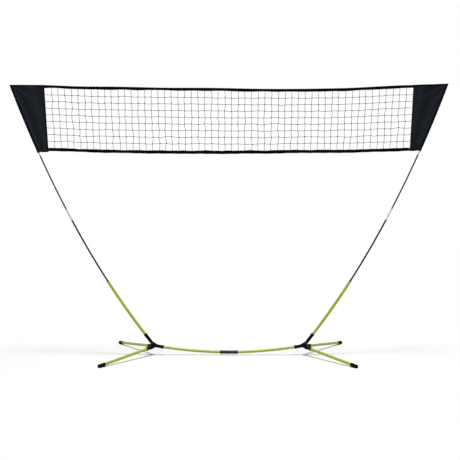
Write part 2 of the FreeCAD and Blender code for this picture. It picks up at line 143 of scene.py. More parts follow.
# Stitches
thread_radius = 0.00028
thread_sides = 5
stitch_length = 0.0036
stitch_pitch = 0.0048
stitch_profile = ((-0.5, -0.2), (-0.3, 0.55), (0.3, 0.55), (0.5, -0.2))    # (along, rise)
stitch_swell = (0.5, 1, 1, 0.5)
tape_rows = (0.0022, 0.0052)     # of stitches, from the edge of a tape
binding_rows = (0.0020, 0.0046)  # and of a binding. The second is on the wide top one alone

# Sleeve
pole_bend_radius = 6.63      # of the stretch of pole inside the sleeve
sleeve_radius = 0.0066       # outside, over the rod
sleeve_seam_reach = 0.0080   # from the pole's axis to where the sleeve's two sides meet
sleeve_flap = 0.0014         # how far they go on, flat on the panel
sleeve_seam_out = 0.8 * panel_cloth    # from the panel's middle to the inside of their cloth
sleeve_cloth = 0.0008
sleeve_shear_length = 0.060  # over which the sleeve's end turns into line with the panel's top edge
sleeve_tip_length = 0.0075   # over which its closed end rounds off
sleeve_tip_turn = 2          # degrees, where the rounding ends in a flat cap
shade_blur = 0.0016          # over which the sleeve's painted shade turns its cloth black, across the pole's line
corner_rise = {"right": -0.0038, "left": 0.0046}    # of the outer top corner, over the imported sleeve's
crease_height = 0.00028
mouth_hem = 0.0120
mouth_hem_rise = 0.0005
mouth_hem_slope = 0.0012     # length over which the hem rises
sleeve_steps = 104
sleeve_tip_steps = 8
sleeve_arc_steps = 14

# End panels
panel_rows = 92
panel_columns = 46
panel_sag = 0.0015           # of the lower edge, at its middle
sag_start = 0.8              # share of the way down from which the cloth sags
inner_drop = {"right": 0.0, "left": 0.005}    # how far the inner lower corner hangs below the tape
edge_margin = 0.0005         # of the panel's cloth past the sleeve's seam
inner_binding = 0.0065       # width of the black binding on the rim beside the net
top_binding = 0.009
bottom_binding = 0.008
side_band = 0.0050           # width of the rolled edge beside the sleeve
side_band_rise = 0.0013
side_band_wander = 0.0005
side_band_inset = 0.0121     # its middle, from the pole's axis
side_band_corners = 12

# Folds of the end panels
fold_height = 0.0055         # of the broad ones, which run down the panel
fold_turn_across = 7.2       # radians of their wave, from the net to the pole
fold_turn_down = 1.6         # and from top to bottom
fine_fold_height = 0.0013
corner_folds = {             # (waves in a full turn, height, reach) of those that fan out from a corner
    "outer_bottom": (9, 0.0034, 0.10),
    "outer_top": (11, 0.0038, 0.12),
    "inner_bottom": (7, 0.0022, 0.06),
    "inner_top": (6, 0.0020, 0.06)}
corner_calm = 0.03           # from a corner to where its folds are full
inner_calm = 0.12            # share of the width over which all folds grow, from the net
outer_calm = 0.10            # and from the pole
end_calm = 0.05              # and share of the height, from the top and the bottom

# Seeds of the random draws
billow_seed = 3
knot_seed = 11
cord_seed = 23
top_tape_seed = 501
bottom_tape_seed = 541
fold_seed = {"right": 41, "left": 67}
binding_seed = {"right": 100, "left": 200}
band_seed = {"right": 81, "left": 79}
crease_seed = {"right": 300, "left": 350}


# Finishes

class Nodes:
    """A tree of shader nodes."""

    def __init__(self, tree):
        self.tree = tree

    def add(self, kind, inputs=None, **settings):
        """A new node. inputs are constants or other nodes' outputs, by name or number."""
        node = self.tree.nodes.new("ShaderNode" + kind)
        for name, value in settings.items():
            setattr(node, name, value)
        for name, value in (inputs or {}).items():
            self.set(node, name, value)
        return node

    def set(self, node, name, value):
        if isinstance(value, bpy.types.NodeSocket):
            self.tree.links.new(value, node.inputs[name])
        else:
            node.inputs[name].default_value = value


class Finish(Nodes):
    """A material of the object."""

    wave_length = 2 * math.pi / 20    # of Blender's wave texture, at a scale of 1

    def __init__(self, name):
        self.material = bpy.data.materials.new(name)
        self.material.use_nodes = True
        super().__init__(self.material.node_tree)
        self.surface = self.tree.nodes["Principled BSDF"]
        self.place = self.add("TexCoord").outputs["Object"]

    def shade(self, **inputs):
        """Sets inputs of the surface shader, named with _ for a space."""
        for name, value in inputs.items():
            self.set(self.surface, name.replace("_", " "), value)

    def noise(self, scale, detail=3.0, roughness=0.5, place=None):
        inputs = {"Vector": place or self.place, "Scale": scale, "Detail": detail, "Roughness": roughness}
        return self.add("TexNoise", inputs).outputs["Fac"]

    def stretched(self, scale, turn=(0, 0, 0)):
        """The object's coordinates, turned and then scaled along each axis."""
        turned = self.add("Mapping", {"Vector": self.place, "Rotation": turn})
        return self.add("Mapping", {"Vector": turned.outputs[0], "Scale": scale}).outputs[0]

    def ramp(self, factor, *stops):
        """A colour, or a grey from one number, for each place of the factor from 0 to 1."""
        ramp = self.add("ValToRGB", {"Fac": factor})
        while len(ramp.color_ramp.elements) < len(stops):
            ramp.color_ramp.elements.new(0.5)
        for element, (place, colour) in zip(ramp.color_ramp.elements, stops):
            element.position = place
            if isinstance(colour, (int, float)):
                colour = (colour, colour, colour)
            element.color = (*colour, 1)
        return ramp.outputs["Color"]

    def calculate(self, operation, first, second=0.0, third=0.0):
        return self.add("Math", {0: first, 1: second, 2: third}, operation=operation).outputs[0]

    def bump(self, height, depth):
        return self.add("Bump", {"Height": height, "Distance": depth}).outputs["Normal"]

    def ridges(self, direction, pitch, place=None):
        """A wave from 0 to 1 that repeats every pitch along one axis."""
        inputs = {"Vector": place or self.place, "Scale": self.wave_length / pitch}
        return self.add("TexWave", inputs, bands_direction=direction).outputs["Fac"]


def lime_tube():
    """Powder coat, with a slight orange peel."""
    finish = Finish("lime_tube")
    dark = (0.29, 0.395, 0.008)
    light = (0.34, 0.455, 0.016)
    colour = finish.ramp(finish.noise(scale=9.0, detail=4.0), (0.3, dark), (0.7, light))
    roughness = finish.ramp(finish.noise(scale=60.0, detail=4.0), (0.35, 0.30), (0.7, 0.42))
    peel = finish.bump(finish.noise(scale=900.0, detail=2.0), depth=0.00006)
    finish.shade(Base_Color=colour, Roughness=roughness, Specular_IOR_Level=0.2, Normal=peel,
                 Coat_Weight=0.35, Coat_Roughness=0.14)
    return finish.material


def moulded_plastic(name, dark, light, smooth, dull, specular):
    """Cloudy moulded plastic with a fine grain. Its roughness goes from smooth to dull."""
    finish = Finish(name)
    clouds = finish.noise(scale=70.0, detail=5.0)
    colour = finish.ramp(clouds, (0.3, dark), (0.75, light))
    roughness = finish.ramp(clouds, (0.3, smooth), (0.75, dull))
    grain = finish.bump(finish.noise(scale=1400.0, detail=2.0), depth=0.00005)
    finish.shade(Base_Color=colour, Roughness=roughness, Specular_IOR_Level=specular, Normal=grain)
    return finish.material


def hub_plastic():
    return moulded_plastic("hub_plastic", dark=(0.0006, 0.0006, 0.0007), light=(0.0022, 0.0022, 0.0023),
                           smooth=0.16, dull=0.26, specular=0.06)


def coupler_plastic():
    """The bar's coupler is greyer and duller than the hubs."""
    return moulded_plastic("coupler_plastic", dark=(0.0030, 0.0030, 0.0036), light=(0.0070, 0.0070, 0.0078),
                           smooth=0.40, dull=0.48, specular=0.27)


def cap_rubber():
    """Black rubber with a little dust on it."""
    finish = Finish("cap_rubber")
    bare = (0.0004, 0.0004, 0.0004)
    dusty = (0.0030, 0.0029, 0.0028)
    colour = finish.ramp(finish.noise(scale=45.0, detail=6.0, roughness=0.6), (0.4, bare), (0.8, dusty))
    grain = finish.bump(finish.noise(scale=900.0), depth=0.0001)
    finish.shade(Base_Color=colour, Roughness=0.36, Specular_IOR_Level=0.035, Normal=grain)
    return finish.material


def fibreglass():
    """Lacquered rod, with streaks that run up it."""
    finish = Finish("fibreglass")
    streaks = finish.noise(scale=1.0, place=finish.stretched((900, 900, 30)))
    dark = (0.0010, 0.0010, 0.0012)
    light = (0.0035, 0.0035, 0.0037)
    colour = finish.ramp(streaks, (0.35, dark), (0.75, light))
    finish.shade(Base_Color=colour, Roughness=0.36, Specular_IOR_Level=0.05,
                 Normal=finish.bump(streaks, depth=0.00004))
    return finish.material


def ferrule_steel():
    """Bright metal, with fine scratches along it."""
    finish = Finish("ferrule_steel")
    scratches = finish.noise(scale=1.0, place=finish.stretched((1500, 1500, 60), turn=(0, -0.6, 0)))
    roughness = finish.ramp(scratches, (0.3, 0.26), (0.75, 0.42))
    dark = (0.40, 0.40, 0.41)
    light = (0.52, 0.52, 0.52)
    colour = finish.ramp(finish.noise(scale=120.0), (0.3, dark), (0.7, light))
    finish.shade(Base_Color=colour, Metallic=1.0, Roughness=roughness,
                 Normal=finish.bump(scratches, depth=0.00003))
    return finish.material


def zinc_steel():
    """Zinc plating, with its spangle."""
    finish = Finish("zinc_steel")
    spangle = finish.add("TexVoronoi", {"Vector": finish.place, "Scale": 900.0}).outputs["Color"]
    dark = (0.42, 0.43, 0.44)
    light = (0.58, 0.58, 0.58)
    colour = finish.ramp(spangle, (0.2, dark), (0.8, light))
    grain = finish.bump(finish.noise(scale=700.0), depth=0.00005)
    finish.shade(Base_Color=colour, Metallic=1.0, Roughness=0.34, Normal=grain)
    return finish.material


def black_steel():
    """Blackened steel, a little worn."""
    finish = Finish("black_steel")
    worn = finish.noise(scale=260.0, detail=4.0)
    dark = (0.006, 0.006, 0.0065)
    light = (0.022, 0.022, 0.023)
    colour = finish.ramp(worn, (0.35, dark), (0.8, light))
    finish.shade(Base_Color=colour, Metallic=0.3, Roughness=0.34, Normal=finish.bump(worn, depth=0.00003))
    return finish.material


def elastic_cord():
    """Braid, from ridges that run both ways."""
    finish = Finish("elastic_cord")
    one_way = finish.ridges("DIAGONAL", pitch=0.0012)
    other_way = finish.ridges("DIAGONAL", pitch=0.0012, place=finish.stretched((-1, 1, 1)))
    braid = finish.calculate("MAXIMUM", one_way, other_way)
    dark = (0.012, 0.012, 0.012)
    light = (0.035, 0.035, 0.035)
    colour = finish.ramp(braid, (0.2, dark), (0.9, light))
    finish.shade(Base_Color=colour, Roughness=0.85, Normal=finish.bump(braid, depth=0.0002))
    return finish.material


def net_cord():
    """Laid cord, with a slight fuzz."""
    finish = Finish("net_cord")
    lay = finish.ridges("DIAGONAL", pitch=0.0011)
    fuzz = finish.noise(scale=2500.0)
    dark = (0.0010, 0.0010, 0.0012)
    light = (0.0040, 0.0040, 0.0044)
    colour = finish.ramp(lay, (0.1, dark), (0.9, light))
    rough = finish.bump(finish.calculate("ADD", lay, fuzz), depth=0.0002)
    finish.shade(Base_Color=colour, Roughness=0.8, Specular_IOR_Level=0.03, Normal=rough)
    return finish.material


def sewing_thread():
    finish = Finish("sewing_thread")
    lay = finish.ridges("DIAGONAL", pitch=0.0004)
    dark = (0.0015, 0.0015, 0.0018)
    light = (0.0060, 0.0060, 0.0066)
    colour = finish.ramp(lay, (0.1, dark), (0.9, light))
    finish.shade(Base_Color=colour, Roughness=0.6, Specular_IOR_Level=0.05,
                 Normal=finish.bump(lay, depth=0.00005))
    return finish.material


def woven(name, dark, light, warp, weft, roughness, specular, depth):
    """Plain woven cloth that lies in the plane of the net, with slubs and blotches."""
    finish = Finish(name)
    weave = finish.calculate("MULTIPLY", finish.ridges("X", warp), finish.ridges("Z", weft))
    slubs = finish.noise(scale=1.0, place=finish.stretched((40, 40, 900)))
    blotches = finish.noise(scale=14.0, detail=4.0)
    mixed = 0.0
    for part, share in ((weave, 0.35), (slubs, 0.35), (blotches, 0.3)):
        mixed = finish.calculate("MULTIPLY_ADD", part, share, mixed)
    colour = finish.ramp(mixed, (0.25, dark), (0.7, light))
    finish.shade(Base_Color=colour, Roughness=roughness, Specular_IOR_Level=specular,
                 Normal=finish.bump(finish.calculate("ADD", weave, slubs), depth))
    return finish.material


def tape_fabric():
    return woven("tape_fabric", dark=(0.0014, 0.0014, 0.0016), light=(0.0065, 0.0065, 0.0072),
                 warp=0.0008, weft=0.0011, roughness=0.8, specular=0.01, depth=0.0002)


def panel_fabric():
    return woven("panel_fabric", dark=(0.0070, 0.0097, 0.0134), light=(0.0163, 0.0212, 0.0278),
                 warp=0.0006, weft=0.0006, roughness=0.6, specular=0.05, depth=0.00012)


# A lighter copy of the panel's cloth: a painted highlight on the rolled edge beside the sleeve.
def band_fabric_painted_highlight():
    return woven("band_fabric_painted_highlight", dark=(0.0120, 0.0155, 0.0195), light=(0.0260, 0.0315, 0.0380),
                 warp=0.0006, weft=0.0006, roughness=0.6, specular=0.1, depth=0.00012)


def sleeve_fabric_painted_shade(centre, radius):
    """Panel cloth with painted shade that turns it black outside the line of the pole, an arc about this
    centre: the side of the sleeve that turns away from the light.
    """
    finish = Finish("sleeve_fabric_painted_shade")
    parts = finish.add("SeparateXYZ", {"Vector": finish.place}).outputs
    one_side = finish.add("CombineXYZ", {"X": finish.calculate("ABSOLUTE", parts["X"]), "Z": parts["Z"]})
    away = finish.add("VectorMath", {0: one_side.outputs[0], 1: centre}, operation="DISTANCE")
    outside = finish.calculate("SUBTRACT", away.outputs["Value"], radius)
    # painted shade: 0 a little inside the pole's line, 1 at it and outside it
    painted_shade = finish.calculate("MULTIPLY_ADD", outside, 1 / shade_blur, 1.0)
    weave = finish.calculate("MULTIPLY", finish.ridges("X", pitch=0.0006), finish.ridges("Z", pitch=0.0006))
    cloth = finish.ramp(weave, (0.2, (0.0055, 0.0068, 0.0085)), (0.9, (0.0125, 0.0150, 0.0180)))
    black = finish.ramp(weave, (0.2, (0.0002, 0.0002, 0.0003)), (0.9, (0.0010, 0.0010, 0.0012)))
    colour = finish.add("Mix", {"Factor": painted_shade}, data_type="RGBA")
    finish.set(colour, 6, cloth)
    finish.set(colour, 7, black)
    finish.shade(Base_Color=colour.outputs[2], Roughness=0.8, Specular_IOR_Level=0.008,
                 Normal=finish.bump(weave, depth=0.00015))
    return finish.material


finishes = {make.__name__: make() for make in (
    lime_tube, hub_plastic, coupler_plastic, cap_rubber, fibreglass, ferrule_steel, zinc_steel, black_steel,
    elastic_cord, net_cord, tape_fabric, panel_fabric, band_fabric_painted_highlight, sewing_thread)}
own_finish = {"bar_coupler": "coupler_plastic"}    # where it isn't the finish of the node's slot

for subpart in frame["record"]["subparts"]:
    node = frame["nodes"][subpart["node"]]
    node.data.materials.clear()
    node.data.materials.append(finishes[own_finish.get(subpart["node"], subpart["material_slot"])])


# Mesh building

class Shape:
    """The points and faces of one mesh."""

    def __init__(self):
        self.points = []
        self.faces = []

    def loft(self, rings, looped=True, capped=True):
        """Joins rings that have as many points each. A looped ring closes on itself."""
        first = len(self.points)
        size = len(rings[0])
        for ring in rings:
            self.points.extend(ring)
        for row in range(len(rings) - 1):
            for step in range(size if looped else size - 1):
                here = first + row * size + step
                beside = first + row * size + (step + 1) % size
                self.faces.append((here, beside, beside + size, here + size))
        if capped:
            last = len(self.points) - size
            self.faces.append(tuple(range(first + size - 1, first - 1, -1)))
            self.faces.append(tuple(range(last, last + size)))

    def tube(self, line, radius, sides, swell=None):
        """A closed tube along points, which must not lead along Y. swell scales its radius at each."""
        rings = []
        for index, (point, part) in enumerate(zip(line, swell or [1] * len(line))):
            ahead = line[min(index + 1, len(line) - 1)]
            behind = line[max(index - 1, 0)]
            direction = (ahead - behind).normalized()
            beside = BACK.cross(direction).normalized()
            above = direction.cross(beside)
            ring = []
            for side in range(sides):
                turn = 2 * math.pi * side / sides
                ring.append(point + radius * part * (math.cos(turn) * beside + math.sin(turn) * above))
            rings.append(ring)
        self.loft(rings)

    def piece(self, name, slot, finish=None):
        """Makes the object, with its faces turned outwards."""
        mesh = bpy.data.meshes.new(name)
        mesh.from_pydata(self.points, [], self.faces)
        work = bmesh.new()
        work.from_mesh(mesh)
        bmesh.ops.recalc_face_normals(work, faces=work.faces)
        work.to_mesh(mesh)
        work.free()
        mesh.shade_smooth()
        mesh.materials.append(finishes[finish or slot])
        piece = bpy.data.objects.new(name, mesh)
        bpy.context.scene.collection.objects.link(piece)
        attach(piece, "base")
        return piece


def waves(seed, count, shortest, longest, height):
    """A smooth random function of two lengths: some sine waves that cross."""
    draw = random.Random(seed)
    found = []
    for _ in range(count):
        rate = 2 * math.pi / draw.uniform(shortest, longest)
        turn = draw.uniform(0, math.pi)
        found.append((rate * math.cos(turn), rate * math.sin(turn), draw.uniform(0, 2 * math.pi)))
    share = height / math.sqrt(count)

    def value(first, second=0.0):
        return share * sum(math.sin(a * first + b * second + c) for a, b, c in found)

    return value


def eased(value):
    """0 below 0, 1 above 1, and a smooth rise between."""
    value = min(max(value, 0.0), 1.0)
    return value * value * (3 - 2 * value)


def between(first, last, share):
    return first + share * (last - first)


def arch(share):
    """0 at both ends and 1 in the middle."""
    return 4 * share * (1 - share)


# The plane of the net

top_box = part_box("top_tape")
bottom_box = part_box("bottom_tape")
tape_top = top_box[1].z - top_sag
mesh_top = top_box[0].z
mesh_bottom = bottom_box[1].z - bottom_sag
tape_bottom = bottom_box[0].z


def mesh_end(mid_height):
    """Half length of a level seam that is this high at the middle."""
    share = (tape_top - mid_height) / (tape_top - mesh_bottom)
    return between(top_box[1].x, bottom_box[1].x, share)


billow = waves(billow_seed, count=5, shortest=0.35, longest=1.1, height=billow_height)


def drift(x, z):
    """How far back the cloth and cords stand at a place. The poles hold the two ends."""
    return billow(x, z) * (1 - eased(abs(x) / cad_box[1].x - billow_start))


def grown(x, run):
    """0 up to the start of a run, given as its start and length, and a smooth rise to 1 over it."""
    start, length = run
    return eased((x - start) / length)


def tilt(x, down):
    """How much higher the net is at x than one that hangs level. down is 0 at its top and 1 at its bottom."""
    pull = -right_top_drop if x > 0 else -left_top_pull
    top = pull * math.sin(math.pi / 2 * min(max(x / top_pull_reach, -1.0), 1.0))
    top += left_end_lift * grown(-x, left_lift_run) + right_end_lift * grown(x, right_lift_run)
    bottom = bottom_rise * grown(-x, bottom_rise_run) - bottom_drop * grown(x, bottom_drop_run)
    return between(top, bottom, down)


def net_point(share, mid_height):
    """A point in the net. share runs from -1 at its left end to 1."""
    x = share * mesh_end(mid_height)
    down = (tape_top - mid_height) / (tape_top - tape_bottom)
    z = mid_height + between(top_sag, bottom_sag, down) * share ** 2 + tilt(x, down)
    return Vector((x, drift(x, z), z))


# Cords

def knots():
    """Where the cords cross, by column and row, a little uneven."""
    draw = random.Random(knot_seed)
    found = []
    for column in range(mesh_columns + 1):
        along = []
        for row in range(mesh_rows + 1):
            mid_height = between(mesh_top, mesh_bottom, row / mesh_rows)
            point = net_point(-1 + 2 * column / mesh_columns, mid_height)
            slack = slack_top + slack_growth * row / mesh_rows
            loose_x = draw.gauss(0, stray_x) * slack
            loose_z = draw.gauss(0, stray_z) * slack
            loose_y = draw.gauss(0, stray_y)
            if 0 < column < mesh_columns and 0 < row < mesh_rows:
                point += Vector((loose_x, loose_y, loose_z))
            along.append(point)
        found.append(along)
    return found


def cord_line(places, bow, start, end):
    """A cord through places in turn, bowed by bow() between each two, with its two ends tucked away."""
    line = [places[0] + start]
    for first, last in zip(places, places[1:]):
        bend = bow()
        for share in (0.0, 0.25, 0.5, 0.75):
            line.append(between(first, last, share) + bend * arch(share))
    line += [places[-1], places[-1] + end]
    return line


def net_cords():
    """The net's upright and level cords, with two turns of cord at each knot."""
    draw = random.Random(cord_seed)
    crossings = knots()
    shape = Shape()

    def upright_bow():
        return Vector((draw.gauss(0, cord_bow_x), draw.gauss(0, cord_bow_y), 0))

    def level_bow():
        return Vector((0, draw.gauss(0, cord_bow_y), -abs(draw.gauss(cord_hang, cord_hang))))

    for column in range(1, mesh_columns):
        line = cord_line(crossings[column], upright_bow, UP * cord_tuck, -UP * cord_tuck)
        shape.tube(line, cord_radius, cord_sides)
    tuck = Vector((cord_tuck, 0, 0))
    for row in range(1, mesh_rows):
        line = cord_line([along[row] for along in crossings], level_bow, -tuck, tuck)
        shape.tube(line, cord_radius, cord_sides)
    for column in range(1, mesh_columns):
        for row in range(1, mesh_rows):
            for lean in knot_leans:
                lean += draw.gauss(0, knot_lean_stray)
                way = Vector((math.cos(lean), draw.gauss(0, knot_depth_stray), math.sin(lean)))
                turn = [crossings[column][row] + way * knot_length / 2 * step for step in knot_steps]
                shape.tube(turn, knot_radius, cord_sides, knot_swell)
    return shape.piece("net_cords", "net_cord")


# Cloth folded over an edge, and stitches

def add_stitches(shape, length, outside, place):
    """A row of stitches on both faces of some cloth.

    outside is from the cloth's middle to its face, and place(distance, out) a point of the row.
    """
    count = int(length / stitch_pitch)
    for step in range(count):
        middle = length * (step + 0.5) / count
        for face in (-1, 1):
            line = []
            for along, rise in stitch_profile:
                line.append(place(middle + along * stitch_length, face * (outside + rise * thread_radius)))
            shape.tube(line, thread_radius, thread_sides, stitch_swell)


def fold_section(width, slit, cloth):
    """(depth, out) round a strip folded over an edge: its outside from front to back, then its inside."""
    outer = slit / 2 + cloth
    inner = slit / 2
    leg_steps = 4
    turns = [math.radians(angle) for angle in (-60, -30, 0, 30, 60)]
    depths = [between(outer, width, step / leg_steps) for step in range(leg_steps + 1)]
    section = [(depth, -outer) for depth in reversed(depths)]
    section += [(outer - outer * math.cos(turn), outer * math.sin(turn)) for turn in turns]
    section += [(depth, outer) for depth in depths]
    section += [(depth, inner) for depth in reversed(depths)]
    section += [(outer - inner * math.cos(turn), inner * math.sin(turn)) for turn in reversed(turns)]
    section += [(depth, -inner) for depth in depths]
    return section


class Strip:
    """A strip of cloth folded over an edge and sewn down.

    place(distance) gives the fold's place and the way into the cloth, both in XZ.
    surface(x, z) is how far back the middle of the cloth stands.
    """

    def __init__(self, place, length, width, surface, slit, cloth, seed, wobble):
        self.place = place
        self.length = length
        self.width = width
        self.surface = surface
        self.slit = slit
        self.cloth = cloth
        self.fold_waves = waves(seed, count=4, shortest=0.05, longest=0.4, height=wobble)
        self.edge_waves = waves(seed + 1, count=5, shortest=0.03, longest=0.2, height=wobble * edge_wobble)
        self.flare_waves = waves(seed + 2, count=4, shortest=0.02, longest=0.09, height=flare_wander)

    def point(self, distance, depth, out):
        place, inward = self.place(distance)
        share = depth / self.width
        moved = self.fold_waves(distance) * (1 - share) + self.edge_waves(distance) * share
        point = place + inward * (depth + moved)
        apart = 1 + share * (flare + self.flare_waves(distance, out * flare_shift))
        return Vector((point.x, self.surface(point.x, point.z) + out * apart, point.z))

    def add_cloth(self, shape, spacing):
        count = max(4, round(self.length / spacing))
        section = fold_section(self.width, self.slit, self.cloth)
        rings = []
        for step in range(count + 1):
            distance = self.length * step / count
            rings.append([self.point(distance, depth, out) for depth, out in section])
        shape.loft(rings)

    def add_row(self, shape, margin):
        """A row of stitches, this far from the strip's edges."""
        def place(distance, out):
            return self.point(distance, self.width - margin, out)

        add_stitches(shape, self.length, self.slit / 2 + self.cloth, place)

    def cut_width(self):
        return 2 * self.width + math.pi * (self.slit / 2 + self.cloth / 2)


def tape(name, node, mid_height, way, seed):
    """One of the net's two long tapes, with its stitching.

    way is -1 for the top one, which hangs from its fold, and 1 for the bottom one, which stands on it.
    """
    width = tape_top - mesh_top if way < 0 else mesh_bottom - tape_bottom
    length = 2 * mesh_end(mid_height)

    def place(distance):
        return net_point(-1 + 2 * distance / length, mid_height), UP * way

    strip = Strip(place, length, width, drift, tape_slit, tape_cloth, seed, tape_wobble)
    cloth = Shape()
    strip.add_cloth(cloth, tape_spacing)
    piece = cloth.piece(name, "tape_fabric")
    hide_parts(node)
    thread = Shape()
    for margin in tape_rows:
        strip.add_row(thread, margin)
    stitching = thread.piece(name + "_stitching", "tape_fabric", "sewing_thread")
    return piece, stitching, (strip.cut_width(), length)


# The poles' line and the outline of an end, made for the right side and mirrored for the left

def end_ring(node, high):
    """The centre of a bent tube's high or low end."""
    points = np.array([vertex.co for vertex in frame["nodes"][node].data.vertices])
    axis = points[points[:, 2].argmax()] - points[points[:, 2].argmin()]
    along = points @ (axis / np.linalg.norm(axis))
    depth = 0.0005
    ring = points[along > along.max() - depth] if high else points[along < along.min() + depth]
    return Vector((ring.min(0) + ring.max(0)) / 2)


class PoleArc:
    """The line of the right pole inside its sleeve, by distance from the sleeve's mouth."""

    def __init__(self, low, high, mouth):
        chord = high - low
        inward = Vector((-chord.z, 0, chord.x)).normalized()
        self.centre = (low + high) / 2 + inward * math.sqrt(pole_bend_radius ** 2 - (chord.length / 2) ** 2)
        self.mouth_turn = self.turn_of(mouth)

    def turn_of(self, place):
        return math.atan2(place.z - self.centre.z, place.x - self.centre.x)

    def distance(self, place):
        return (self.turn_of(place) - self.mouth_turn) * pole_bend_radius

    def outward(self, distance):
        turn = self.mouth_turn + distance / pole_bend_radius
        return Vector((math.cos(turn), 0, math.sin(turn)))

    def point(self, distance, inset):
        """A point beside the pole, this far towards the net from its axis."""
        return self.centre + self.outward(distance) * (pole_bend_radius - inset)


pole = PoleArc(low=end_ring("right_top_rod", high=False), high=end_ring("right_top_rod", high=True),
               mouth=end_ring("right_pole_sleeve", high=False))
sleeve_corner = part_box("right_pole_sleeve")[1]
finishes["sleeve_fabric_painted_shade"] = sleeve_fabric_painted_shade(pole.centre, pole_bend_radius)


class Outline:
    """The outline of one end panel and its sleeve, laid out on the right. side is 1, or -1 for the left."""

    def __init__(self, side):
        self.side = side
        self.name = "right" if side > 0 else "left"
        self.inner_top = self.seam_end(tape_top)
        self.inner_bottom = self.seam_end(tape_bottom)
        self.inner_bottom += (self.inner_bottom - self.inner_top).normalized() * inner_drop[self.name]
        corner = Vector((sleeve_corner.x, 0, sleeve_corner.z))
        self.corner_distance = pole.distance(corner) + corner_rise[self.name]
        outward = pole.outward(self.corner_distance)
        along = Vector((-outward.z, 0, outward.x))
        top_edge = pole.point(self.corner_distance, -sleeve_radius) - self.inner_top
        self.slope = top_edge.dot(along) / top_edge.dot(outward)
        self.edge_inset = sleeve_seam_reach + edge_margin
        self.outer_top = pole.point(self.top_distance(self.edge_inset), self.edge_inset)
        self.outer_bottom = pole.point(0, self.edge_inset)

    def seam_end(self, mid_height):
        point = net_point(self.side, mid_height)
        return Vector((abs(point.x), point.y, point.z))

    def top_distance(self, inset):
        """Where the top edge passes, this far towards the net from the pole's axis."""
        return self.corner_distance - self.slope * (inset + sleeve_radius)

    def shares(self, x, z):
        """Where a place is: across from the net and down from the top, each 0 to 1."""
        down_inner = (self.inner_top.z - z) / (self.inner_top.z - self.inner_bottom.z)
        down_outer = (self.outer_top.z - z) / (self.outer_top.z - self.outer_bottom.z)
        inner = between(self.inner_top.x, self.inner_bottom.x, down_inner)
        outer = between(self.outer_top.x, self.outer_bottom.x, down_outer)
        across = (x - inner) / (outer - inner)
        return across, between(down_inner, down_outer, min(max(across, 0), 1))

    def piece(self, shape, name, slot, finish=None):
        """Makes the object from a shape that is laid out on the right, mirrored for the left."""
        if self.side < 0:
            shape.points = [Vector((-point.x, point.y, point.z)) for point in shape.points]
        return shape.piece(self.name + "_" + name, slot, finish)


# End panels

def panel_folds(outline):
    """A function of place that gives the folds of one end panel."""
    seed = fold_seed[outline.name]
    draw = random.Random(seed)
    broad_phase = draw.uniform(0, 2 * math.pi)
    fine = waves(seed + 1, count=6, shortest=0.035, longest=0.11, height=fine_fold_height)
    corners = []
    for name, (count, height, reach) in corner_folds.items():
        corners.append((getattr(outline, name), count, height, reach, draw.uniform(0, 2 * math.pi)))

    def value(x, z):
        across, down = outline.shares(x, z)
        calm = eased(across / inner_calm) * eased((1 - across) / outer_calm)
        calm *= eased(down / end_calm) * eased((1 - down) / end_calm)
        turn = fold_turn_across * across + fold_turn_down * down + broad_phase
        lift = fold_height * math.sin(math.pi * across) * math.sin(turn) + fine(x, z)
        for corner, count, height, reach, phase in corners:
            away = math.hypot(x - corner.x, z - corner.z)
            turn = math.atan2(z - corner.z, x - corner.x)
            calmed = eased(away / corner_calm)
            lift += height * math.sin(count * turn + phase) * math.exp(-away / reach) * calmed
        return lift * calm

    return value


def panel_sheet(outline, surface):
    """The panel's own cloth, as one thickened sheet."""
    sheet = Shape()
    rows = []
    for down in range(panel_rows + 1):
        share = down / panel_rows
        inner = between(outline.inner_top, outline.inner_bottom, share)
        outer = pole.point(outline.top_distance(outline.edge_inset) * (1 - share), outline.edge_inset)
        row = []
        for step in range(panel_columns + 1):
            across = step / panel_columns
            point = between(inner, outer, across)
            point.z -= panel_sag * arch(across) * max(0.0, share - sag_start) / (1 - sag_start)
            point.y = surface(point.x, point.z)
            row.append(point)
        rows.append(row)
    sheet.loft(rows, looped=False, capped=False)
    piece = outline.piece(sheet, "panel_cloth", "panel_fabric")
    thickness = piece.modifiers.new("Thickness", "SOLIDIFY")
    thickness.thickness = panel_cloth
    thickness.offset = 0
    return piece


def panel_rim(first, last, inward_hint, bow=0.0):
    """place(distance) and length of a straight rim, bowed in by bow at its middle."""
    run = last - first
    run.y = 0
    length = run.length
    inward = Vector((-run.z, 0, run.x)).normalized()
    if inward.dot(inward_hint) < 0:
        inward = -inward

    def place(distance):
        share = distance / length
        return first + run * share + inward * bow * arch(share), inward

    return place, length


def panel_bindings(outline, surface):
    """The bindings along the panel's inner, top and lower rims, and their stitches, as two shapes."""
    under_seam = pole.point(outline.top_distance(sleeve_seam_reach), sleeve_seam_reach)
    inner_rim = panel_rim(outline.inner_top, outline.inner_bottom, Vector((1, 0, 0)))
    top_rim = panel_rim(outline.inner_top, under_seam, -UP)
    bottom_rim = panel_rim(outline.inner_bottom, outline.outer_bottom, UP, -panel_sag)
    rims = (    # (rim, width, margins of its rows of stitches, its own part of the seed)
        (inner_rim, inner_binding, binding_rows[:1], 5),
        (top_rim, top_binding, binding_rows, 9),
        (bottom_rim, bottom_binding, binding_rows[:1], 15))
    cloth = Shape()
    thread = Shape()
    for (place, length), width, rows, own_seed in rims:
        seed = binding_seed[outline.name] + own_seed
        strip = Strip(place, length, width, surface, binding_slit, binding_cloth, seed, binding_wobble)
        strip.add_cloth(cloth, binding_spacing)
        for margin in rows:
            strip.add_row(thread, margin)
    return cloth, thread


